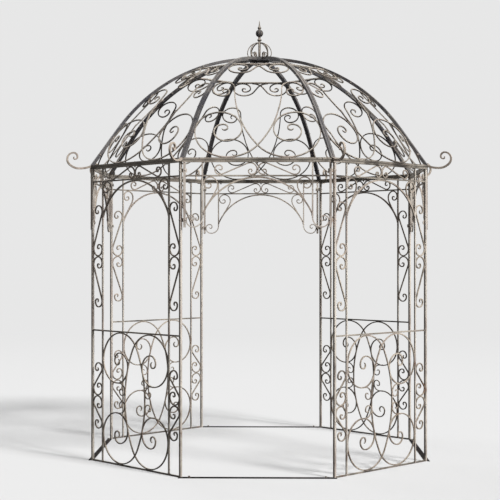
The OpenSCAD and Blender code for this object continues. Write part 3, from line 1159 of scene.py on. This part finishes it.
@dataclass
class Side:
    """What all eight sides have: a place, forged ends, welds, and an arch under a header."""

    name: str
    number: int
    plan: Plan

    @property
    def place(self) -> Matrix:
        """The place of the side's drawing."""
        return self.plan.side(self.number)

    def start(self, seed: Seed) -> Bench:
        """Starts the side's collectors and dresses its arch.

        Args:
            seed: Seed of the welds of this kind of side.

        Returns:
            The collectors.
        """
        work = Bench(
            Forge(f"{self.name}_forged_ends", Coat.LATTICE, Slot.SCROLL),
            Forge(f"{self.name}_welds", Coat.WELD, Slot.WORN, seed + self.number),
        )
        ArchDressing(self.plan).dress(work, self.place)
        return work

    def weld_bar(self, work: Bench, height: float, length: float) -> None:
        """Welds a level bar to a post and to both faces of its stile.

        Args:
            work: Collectors of the side.
            height: The bar's height.
            length: Length of the welds.
        """
        p = self.plan
        for x in (p.post_face, p.stile_outer, p.stile_face):
            work.welds.weld(x, height, 90.0, length, p.stile_bar)

    def weld_post(self, work: Bench) -> None:
        """Welds a post under the top rail."""
        work.welds.weld(self.plan.post_x, self.plan.rail_bottom, 0.0, Bead.POST, self.plan.post_bar)


@dataclass
class SidePanel(Side):
    """One of the four closed sides: posts, rails, arch, window strips and balustrade."""

    window_drop: float = 0.251
    window_loop: float = 0.050
    window_bend: float = 0.060
    low_drop: float = 0.155
    low_loop: float = 0.046
    low_bend: float = 0.030
    foot_rise: float = 0.004

    def build(self) -> list[Forge]:
        """Dresses the side.

        Returns:
            The collectors of its pieces.
        """
        p = self.plan
        work = self.start(Seed.PANEL_WELDS)
        rail, head = p.balustrade_height, p.header_bottom
        drop = self.window_drop * (head - rail)
        window = StripDressing(p, (rail + head) / 2, drop, self.window_loop, self.window_bend)
        window.dress(work, self.place)
        drop = self.low_drop * rail - p.scroll_bar / 2
        middle = (p.stile_bar + rail - p.stile_bar / 2) / 2
        StripDressing(p, middle, drop, self.low_loop, self.low_bend).dress(work, self.place)
        BalustradeDressing(p).dress(work, self.place)
        half_bar = p.stile_bar / 2
        for half in mirrored(self.place):
            work.at(half)
            for height in (p.header_top - half_bar, rail, half_bar + self.foot_rise):
                self.weld_bar(work, height, Bead.RAIL)
            self.weld_post(work)
            work.welds.weld(p.stile_x, p.rail_bottom, 0.0, Bead.SCROLL, p.stile_bar)
        return [work.ends, work.welds]


@dataclass
class Doorway(Side):
    """One of the four open sides: header with legs, arch and frieze, and a sill bar."""

    hook_rise: float = 0.063
    hook_turn: float = 0.060
    hook_end: Sizes = (0.030, 0.020, 0.012)
    bolt_inset: float = 0.045
    bolt_size: float = 0.012

    def build(self) -> list[Forge]:
        """Dresses the doorway.

        Returns:
            The collectors of its pieces.
        """
        p = self.plan
        work = self.start(Seed.DOOR_WELDS)
        seed = Seed.SILL_BOLTS + self.number
        bolts = Forge(f"{self.name}_sill_bolts", Coat.BOLT, Slot.WORN, seed)
        start = Station(p.stile_x, p.leg_bottom + self.hook_rise, -90.0)
        reach = p.post_face - p.seat - p.stile_x - self.hook_turn
        hook = coil([self.hook_turn, reach, *self.hook_end], 1)
        foot = moved(p.corner_x - self.bolt_inset, p.sill_thickness) @ turned(-90.0, "X")
        for half in mirrored(self.place):
            work.at(half)
            bolts.place = half
            path = work.scroll(start, hook)
            work.welds.weld(p.post_face, path[2].y, 90.0, Bead.BACK)
            self.weld_bar(work, p.header_top - p.stile_bar / 2, Bead.HEADER)
            self.weld_post(work)
            bolts.bolt(foot, self.bolt_size)
        return [work.ends, work.welds, bolts]


@dataclass
class CornerStraps:
    """Bent straps and bolts that join neighbouring sides inside each corner."""

    plan: Plan
    heights: Sizes = (1.640, 1.955)
    length: float = 0.026
    width: float = 0.024
    thickness: float = 0.003
    clearance: float = 0.0002
    bolt_inset: float = 0.016
    nut_size: float = 0.008
    head_radius: float = 0.0052

    @property
    def inner(self) -> float:
        """Distance from the middle of the plan to the posts' inner faces."""
        return self.plan.side_distance - self.plan.post_bar / 2 + self.clearance

    def build(self) -> list[Forge]:
        """Makes the straps and their bolts.

        Returns:
            The collectors of the pieces.
        """
        p = self.plan
        straps = Forge("corner_straps", Coat.POST, Slot.WORN)
        nuts = Forge("corner_nuts", Coat.BOLT, Slot.WORN, Seed.CORNER_NUTS)
        heads = Forge("corner_bolt_heads", Coat.POST, Slot.WORN)
        reach = (self.inner - self.thickness) * math.tan(HALF_TURN) - self.bolt_inset
        for corner in range(SIDES):
            for height in self.heights:
                straps.place = turned((corner + 0.5) * TURN)
                self.strap(straps, height)
                for number, x in ((corner, reach), (corner + 1, -reach)):
                    nuts.place = heads.place = p.side(number)
                    inside = moved(x, height, -p.post_bar / 2 - self.thickness)
                    nuts.bolt(inside @ turned(180.0, "X"), self.nut_size, STUB)
                    heads.rivet(moved(x, height, p.post_bar / 2), self.head_radius)
        return [straps, nuts, heads]

    def strap(self, forge: Forge, height: float) -> None:
        """One bent strap, drawn with the corner on -Y.

        Args:
            forge: Collector of straps.
            height: Height of its middle.
        """
        level, across = math.cos(HALF_TURN), math.sin(HALF_TURN)
        low, high = height - self.width / 2, height + self.width / 2
        rings = []
        for side in (-1.0, 0.0, 1.0):
            x = side * level * self.length
            out = abs(side) * across * self.length
            near, far = (out - (self.inner - deep) / level for deep in (0.0, self.thickness))
            corners = ((near, low), (far, low), (far, high), (near, high))
            rings.append([Vector((x, y, z)) for y, z in corners])
        forge.skin(rings)


@dataclass
class Dome:
    """Dressing of the dome: ring bolts, rib bolts, and the scrolls' welds and ends.

    Its scrollwork is drawn flat on each side, in three stretches up the ribs.
    """

    plan: Plan
    rib_width: float = 0.014
    rib_gap: float = 0.001
    rib_slope: float = 54.0
    rib_radius: float = 1.300
    crown_radius: float = 0.090
    crown_thickness: float = 0.020
    stretch_ends: Sizes = (0.0, 0.430, 0.760, 1.055)
    lower_radii: Sizes = (0.212, 0.162, 0.142, 0.100, 0.080, 0.060, 0.028, 0.020)
    neck: tuple[tuple[float, float], ...] = ((0.240, 52.0), (0.719, 28.0))
    middle_edge: float = 0.222
    middle_radii: Sizes = (0.082, 0.066, 0.044, 0.028, 0.018)
    middle_lean: float = 16.5
    upper_radii: Sizes = (0.077, 0.070, 0.060, 0.040, 0.025, 0.015)
    upper_lean: float = 20.0
    weld_rises: Sizes = (0.020, 0.012, 0.010)
    rib_bolts: Sizes = (0.100, 0.450, 0.820, 1.120)
    rib_bolt_size: float = 0.008
    ring_bolts: Sizes = (-0.330, 0.0, 0.330)
    ring_head: float = 0.0056
    ring_nut: float = 0.009

    @property
    def slope(self) -> float:
        """Slope of the ribs' feet in radians."""
        return math.radians(self.rib_slope)

    @property
    def foot_height(self) -> float:
        """Height of the ribs' foot point, in the ring's middle."""
        return self.plan.eave_height + self.plan.post_bar / 2

    @property
    def straight(self) -> float:
        """Length of a rib's straight foot."""
        reach = self.plan.corner_radius - self.rib_radius * math.sin(self.slope)
        return reach / math.cos(self.slope)

    @property
    def crown_height(self) -> float:
        """Height of the middle of the crown plate."""
        rise = self.straight * math.sin(self.slope)
        return self.foot_height + rise + self.rib_radius * (1 - math.cos(self.slope))

    @property
    def lower_start(self) -> Station:
        """Middle of the ring, where the lower scrolls cross in their stretch."""
        low = self.plan.post_bar / 2 / math.sin(self.slope) + self.plan.seat
        first, second, *_ = self.lower_radii
        centre = self.beside_rib(low + first, second, self.foot_lean)
        return Station(first - second - centre, low, 180.0)

    @property
    def foot_lean(self) -> float:
        """How far the ribs' feet lean from upright in the lower stretch, in degrees."""
        return math.degrees(math.atan(math.cos(self.slope) * math.sin(HALF_TURN)))

    def rib_point(self, along: float) -> tuple[float, float]:
        """A point of the ribs' middle line.

        Args:
            along: Its distance up the rib from the foot.

        Returns:
            Its distance from the axis, and its height.
        """
        if along < self.straight:
            radius = self.plan.corner_radius - along * math.cos(self.slope)
            return radius, self.foot_height + along * math.sin(self.slope)
        angle = self.slope - (along - self.straight) / self.rib_radius
        drop = self.rib_radius * (1 - math.cos(angle))
        return self.rib_radius * math.sin(angle), self.crown_height - drop

    def beside_rib(self, along: float, radius: float, lean: float) -> float:
        """Where a curl is seated against a rib.

        Args:
            along: How far up the side it touches.
            radius: The curl's radius.
            lean: How far the rib leans from upright there, in degrees.

        Returns:
            Distance of its centre from the middle of the side.
        """
        clear = self.rib_point(along)[0] * math.sin(HALF_TURN) - self.rib_width - self.rib_gap / 2
        return clear - (radius + self.plan.seat) / math.cos(math.radians(lean))

    def stretch(self, number: int, step: int) -> tuple[Matrix, float]:
        """The place of a flat stretch of scrollwork.

        Args:
            number: The side it is on.
            step: 0 for the lower stretch, 1 for the middle, 2 for the upper.

        Returns:
            Its place, and its length up the slope.
        """
        level = math.cos(HALF_TURN)
        foot, head = (self.rib_point(along) for along in self.stretch_ends[step : step + 2])
        run, climb = (foot[0] - head[0]) * level, head[1] - foot[1]
        tilt = Matrix.Rotation(math.atan2(climb, run), 4, "X")
        place = turned(number * TURN) @ moved(0.0, -foot[0] * level, foot[1]) @ tilt
        return place, math.hypot(run, climb)

    def build(self) -> list[Forge]:
        """Dresses the dome.

        Returns:
            The collectors of its pieces.
        """
        work = Bench(
            Forge("dome_forged_ends", Coat.DOME, Slot.SCROLL),
            Forge("dome_welds", Coat.WELD, Slot.SCROLL, Seed.DOME_WELDS),
        )
        bolts = Forge("dome_bolts", Coat.BOLT, Slot.RIB, Seed.DOME_BOLTS)
        for number in range(SIDES):
            places = [self.stretch(number, step)[0] for step in range(3)]
            for lower, middle, upper in zip(*map(mirrored, places)):
                self.dress_lower(work, lower)
                self.dress_middle(work, middle)
                self.dress_upper(work, upper)
            self.bolt_ring(number, bolts)
            self.bolt_rib(number, bolts)
        return [work.ends, work.welds, bolts]

    def dress_lower(self, work: Bench, place: Matrix) -> None:
        """Adds the ends and welds of a large volute at the eave.

        Args:
            work: Collectors of the dome.
            place: Place of the lower stretch.
        """
        seat = self.plan.seat
        start = self.lower_start
        work.at(place)
        path = work.scroll(start, coil(self.lower_radii, -1))
        work.welds.weld(start.x, start.y - seat, 0.0, Bead.RING)
        side, y = path[1], path[1].y + self.weld_rises[0]
        work.welds.weld(side.x - seat, y, 90.0 - self.foot_lean, Bead.RING)

    def dress_middle(self, work: Bench, place: Matrix) -> None:
        """Adds the ends and weld of a small volute beside a rib.

        Args:
            work: Collectors of the dome.
            place: Place of the middle stretch.
        """
        fold = self.stretch_ends[1]
        start = Station(self.lower_start.x, self.lower_start.y, 0.0)
        neck = walk(start, [Bend(*bend) for bend in self.neck])[-1]
        lean = math.radians(90.0 - neck.heading)
        neck_x = neck.x + (fold - neck.y) / math.cos(lean) * math.sin(lean)
        edge_x = neck_x + self.middle_edge / math.sin(lean) * (1 - math.cos(lean))
        across = self.beside_rib(fold + self.middle_edge, self.middle_radii[0], self.middle_lean)
        bends = coil([across - edge_x, *self.middle_radii], 1)
        work.at(place)
        path = work.scroll(Station(-edge_x, self.middle_edge, 90.0), bends)
        x, y = path[2].x - self.plan.seat, path[2].y + self.weld_rises[1]
        work.welds.weld(x, y, 90.0 - self.middle_lean, Bead.VOLUTE)

    def dress_upper(self, work: Bench, place: Matrix) -> None:
        """Adds the ends and welds of a scroll under the level bar.

        Args:
            work: Collectors of the dome.
            place: Place of the upper stretch.
        """
        p = self.plan
        top = self.stretch(0, 2)[1] - p.stile_bar - p.stile_bar / 2 - p.seat
        first, second, *_ = self.upper_radii
        low = top - first - second
        across = self.beside_rib(self.stretch_ends[2] + low + first, second, self.upper_lean)
        start = Station(first - second - across, low, 180.0)
        work.at(place)
        path = work.scroll(start, coil(self.upper_radii, -1))
        x, y = path[1].x - p.seat, path[1].y + self.weld_rises[2]
        work.welds.weld(x, y, 90.0 - self.upper_lean, Bead.VOLUTE)
        work.welds.weld(path[2].x, top + p.seat, 0.0, Bead.POST)

    def bolt_ring(self, number: int, bolts: Forge) -> None:
        """Adds the bolts that hold the ring on a side's top rail.

        Args:
            number: The side.
            bolts: Collector of bolts.
        """
        p = self.plan
        bolts.place = p.side(number)
        for x in self.ring_bolts:
            bolts.rivet(moved(x, p.ring_top) @ turned(-90.0, "X"), self.ring_head)
            bolts.bolt(moved(x, p.rail_bottom) @ turned(90.0, "X"), self.ring_nut, STUB)

    def bolt_rib(self, number: int, bolts: Forge) -> None:
        """Adds the bolts through the double rib after a side.

        Args:
            number: The side before it.
            bolts: Collector of bolts.
        """
        offset = self.rib_width + self.rib_gap / 2
        for along in self.rib_bolts:
            radius, height = self.rib_point(along)
            bolts.place = self.plan.corner(number) @ moved(radius, 0.0, height)
            for way, stub in ((1.0, 0.0), (-1.0, STUB)):
                face = moved(0.0, way * offset) @ turned(-90.0 * way, "X")
                bolts.bolt(face, self.rib_bolt_size, stub)


@dataclass
class Horns:
    """Flared, flattened ends of the eight corner horns."""

    plan: Plan
    tip_bar: float = 0.008
    width: float = 0.013
    rise: float = 0.010
    radii: Sizes = (0.228, 0.096, 0.048, 0.045, 0.027, 0.017, 0.010)
    turns: tuple[float, ...] = (23.0, 45.0, 45.0, 90.0, 90.0, 90.0, 60.0)
    flare: float = 1.7
    root_weld: tuple[float, float, float] = (0.009, 0.010, 70.0)

    def build(self) -> list[Forge]:
        """Makes the horns' ends and root welds.

        Returns:
            The collectors of the pieces.
        """
        work = Bench(
            Forge("horn_flares", Coat.ARCH, Slot.WORN),
            Forge("horn_welds", Coat.WELD, Slot.WORN, Seed.HORN_WELDS),
        )
        start = Station(0.0, self.rise, -self.turns[0])
        bends = [Bend(*bend) for bend in zip(self.radii, self.turns)]
        eave = moved(self.plan.corner_radius, 0.0, self.plan.eave_height)
        for number in range(SIDES):
            work.at(self.plan.corner(number) @ eave @ turned(90.0, "X"))
            work.scroll(start, bends, self.tip_bar, self.width, self.flare)
            work.welds.weld(*self.root_weld, Bead.BACK, self.width)
        return [work.ends, work.welds]


@dataclass
class Finial:
    """Trimmings of the finial: flutes on its knob, ends of its arms and crown bolts."""

    dome: Dome
    stem_radius: float = 0.009
    cage_radius: float = 0.090
    cage_top: float = 0.112
    cage_bar: float = 0.006
    cage_eye: Sizes = (0.032, 0.024, 0.015, 0.010)
    arms: int = 8
    bolt_inset: float = 0.018
    bolt_size: float = 0.010
    ball_radius: float = 0.022
    ball_middle: float = 0.182
    flutes: int = 10
    flute_rings: int = 11
    flute_blunt: float = 0.05
    flute_reach: float = 1.25
    flute_girth: float = 0.0042
    flute_flatness: float = 0.7
    flute_sunk: float = 0.0006
    flute_proud: float = 0.0032
    flute_height: float = 0.026

    def build(self) -> list[Forge]:
        """Makes the trimmings.

        Returns:
            The collectors of the pieces.
        """
        ends = Forge("finial_arm_ends", Coat.DOME, Slot.RIB)
        bolts = Forge("crown_bolts", Coat.BOLT, Slot.RIB, Seed.CROWN_BOLTS)
        flutes = Forge("finial_flutes", Coat.RIB, Slot.RIB)
        up = moved(0.0, 0.0, self.dome.crown_height + self.dome.crown_thickness / 2)
        seat = self.cage_bar / 2 - self.dome.plan.weld_bite
        arch = self.cage_top - seat - self.cage_eye[0]
        start = Station(self.stem_radius - seat, self.cage_top, 0.0)
        run = self.cage_radius - self.cage_bar / 2 - start.x - arch
        bends = [Bend(0.0, run), *coil([arch, *self.cage_eye], -1)]
        rim = moved(self.dome.crown_radius - self.bolt_inset, 0.0)
        for i in range(self.arms):
            ends.place = up @ turned(360.0 * i / self.arms) @ turned(90.0, "X")
            ends.tip(walk(start, bends)[-1], bends[-1], self.cage_bar, self.cage_bar, 1.0)
            bolts.place = up @ turned(360.0 * (i + 0.5) / self.arms)
            bolts.bolt(rim, self.bolt_size)
        for i in range(self.flutes):
            flutes.place = up @ turned(360.0 * i / self.flutes)
            self.flute(flutes)
        return [ends, bolts, flutes]

    def flute(self, forge: Forge) -> None:
        """One raised rib down the side of the knob.

        Args:
            forge: Collector of flutes.
        """
        rings = []
        round_it = circle(BEAD_SIDES)
        for t, girth in bead(self.flute_rings, self.flute_blunt):
            angle = t * self.flute_reach
            radius = (self.ball_radius - self.flute_sunk) * math.cos(angle) + self.flute_proud
            height = self.ball_middle + self.flute_height * math.sin(angle)
            girth *= self.flute_girth
            flat = girth * self.flute_flatness
            middle = moved(radius, 0.0, height) @ Matrix.Rotation(-angle, 4, "Y")
            rings.append([middle @ Vector((flat * c, girth * s, 0.0)) for c, s in round_it])
        forge.skin(rings)


@dataclass
class Pavilion:
    """The whole pavilion: the frame's own bars with their finishes, and every addition."""

    plan: Plan = field(default_factory=Plan)
    panels: tuple[str, ...] = ("front_right", "back_right", "back_left", "front_left")
    doorways: tuple[str, ...] = ("front", "right", "back", "left")

    def finish_bars(self, paints: Paints) -> int:
        """Gives each of the frame's bars its finish.

        Args:
            paints: The finishes.

        Returns:
            How many nodes were finished.
        """
        for name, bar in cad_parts.items():
            for place in bar.material_slots:
                place.material = paints[BAR_COATS[name.split("_")[-1]]]
        return len(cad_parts)

    def parts(self) -> Iterator[SidePanel | Doorway | CornerStraps | Dome | Horns | Finial]:
        """Goes through the sub-assemblies in building order.

        Yields:
            Each sub-assembly.
        """
        for i, name in enumerate(self.panels):
            yield SidePanel(name, 2 * i + 1, self.plan)
        for i, name in enumerate(self.doorways):
            yield Doorway(name, 2 * i, self.plan)
        dome = Dome(self.plan)
        yield from (CornerStraps(self.plan), dome, Horns(self.plan), Finial(dome))

    def build(self) -> None:
        """Finishes the bars and builds every sub-assembly."""
        paints = {coat: finish.make(coat.value) for coat, finish in FINISHES.items()}
        LOG.info("finished %d nodes of the frame", self.finish_bars(paints))
        for part in self.parts():
            for forge in part.build():
                faces = len(forge.make(paints).data.polygons)
                LOG.info("%s: %s, %d faces", type(part).__name__, forge.name, faces)


# Camera, floor and light


@dataclass(frozen=True)
class Lamp:
    """A sun lamp. Its angles are in degrees, and its turn goes from the front to the right."""

    name: str
    strength: float
    turn: float
    height: float
    size: float

    def hang(self) -> None:
        """Adds the lamp to the scene."""
        data = bpy.data.lights.new(self.name, "SUN")
        data.energy = self.strength
        data.angle = math.radians(self.size)
        lamp = bpy.data.objects.new(self.name, data)
        lamp.rotation_euler = (math.radians(90.0 - self.height), 0.0, math.radians(self.turn))
        bpy.context.scene.collection.objects.link(lamp)


@dataclass(frozen=True)
class Studio:
    """The camera at the photograph's place, a plain pale floor and soft light."""

    camera_place: tuple[float, float, float] = (0.0988, -8.9725, 1.4181)
    camera_tilt: float = 0.0039
    camera_turn: float = 0.0187
    lens: float = 88.59
    sensor: float = 36.0
    floor_radius: float = 40.0
    floor_sides: int = 96
    floor_tone: float = 0.74
    backdrop_tone: float = 0.80
    bounce_tone: float = 0.07
    sky_tone: float = 0.06
    lamps: tuple[Lamp, ...] = (
        Lamp("key_sun", strength=4.4, turn=47.0, height=40.0, size=14.0),
        Lamp("fill_sun", strength=1.0, turn=-136.0, height=35.0, size=40.0),
    )

    def build(self) -> None:
        """Sets up camera, floor, world and lamps."""
        self.aim()
        self.lay_floor()
        self.set_sky()
        for lamp in self.lamps:
            lamp.hang()
        bpy.context.scene.view_settings.view_transform = "Standard"

    def aim(self) -> None:
        """Places the camera."""
        data = bpy.data.cameras.new("photo_camera")
        data.lens = self.lens
        data.sensor_width = self.sensor
        camera = bpy.data.objects.new("photo_camera", data)
        camera.location = self.camera_place
        camera.rotation_euler = (math.pi / 2 + self.camera_tilt, 0.0, self.camera_turn)
        bpy.context.scene.collection.objects.link(camera)
        bpy.context.scene.camera = camera

    def lay_floor(self) -> None:
        """Lays a round floor whose far parts fade into the background."""
        mesh = bmesh.new()
        size = {"segments": self.floor_sides, "radius": self.floor_radius}
        bmesh.ops.create_circle(mesh, cap_ends=True, **size)
        data = bpy.data.meshes.new("floor")
        mesh.to_mesh(data)
        mesh.free()
        floor = bpy.data.objects.new("floor", data)
        bpy.context.scene.collection.objects.link(floor)
        paper = bpy.data.materials.new("floor_paper")
        s = Shader(paper)
        away = s.vectors("LENGTH", s.node("NewGeometry").outputs["Position"]).outputs["Value"]
        near, far = s.plain("BsdfDiffuse", self.floor_tone), s.plain("Emission", self.backdrop_tone)
        shown = s.blend(s.ease(away, Step.FAR), near, far)
        s.finish("Material", s.blend(s.in_view(), s.plain("BsdfDiffuse", self.bounce_tone), shown))
        data.materials.append(paper)

    def set_sky(self) -> None:
        """Sets a dim sky that shows as the pale backdrop."""
        world = bpy.data.worlds.new("pale_room")
        bpy.context.scene.world = world
        s = Shader(world)
        shown = s.plain("Background", self.backdrop_tone)
        s.finish("World", s.blend(s.in_view(), s.plain("Background", self.sky_tone), shown))


def main() -> None:
    """Builds the scene."""
    logging.basicConfig(level=logging.INFO, format="%(name)s: %(message)s")
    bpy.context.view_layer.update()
    Studio().build()
    Pavilion().build()


if __name__ == "__main__":
    main()
